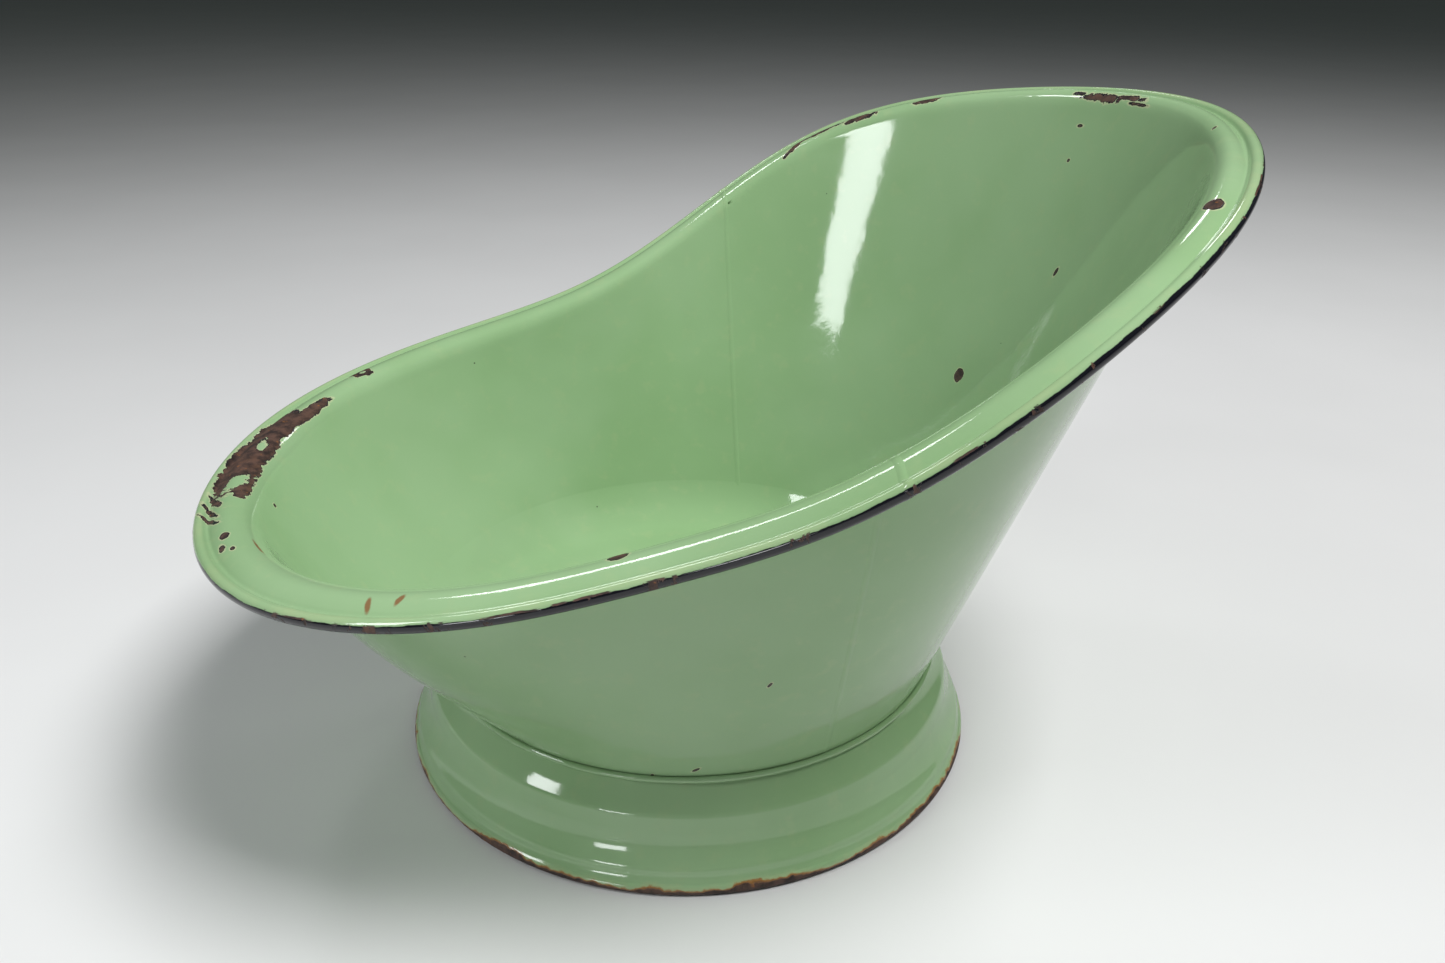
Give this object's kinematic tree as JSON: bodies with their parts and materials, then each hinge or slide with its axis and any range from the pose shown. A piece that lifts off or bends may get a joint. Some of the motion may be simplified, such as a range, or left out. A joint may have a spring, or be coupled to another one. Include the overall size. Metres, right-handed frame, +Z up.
{
  "type": "hip bath",
  "caption": "Slipper-shaped hip bath of enamelled sheet steel with a high back, low front, rolled rim and stepped round foot.",
  "frame": {"origin": "middle of the bath's box, on the floor", "axes": "+X towards the high back, +Y towards the bather's left side, +Z up"},
  "size_m": [0.6951, 0.6114, 0.4612],
  "materials": {
    "green_enamel": "glossy vitreous enamel, chipped and rusty at the rim",
    "wire_steel": "dark bare steel wire"
  },
  "bodies": {
    "root": {"front_shell": "green_enamel", "back_shell": "green_enamel", "left_seam_weld": "green_enamel", "right_seam_weld": "green_enamel", "bottom_pan": "green_enamel", "waist_weld": "green_enamel", "foot_skirt": "green_enamel", "rim_wire": "wire_steel", "foot_wire": "wire_steel"}
  },
  "joints": []
}
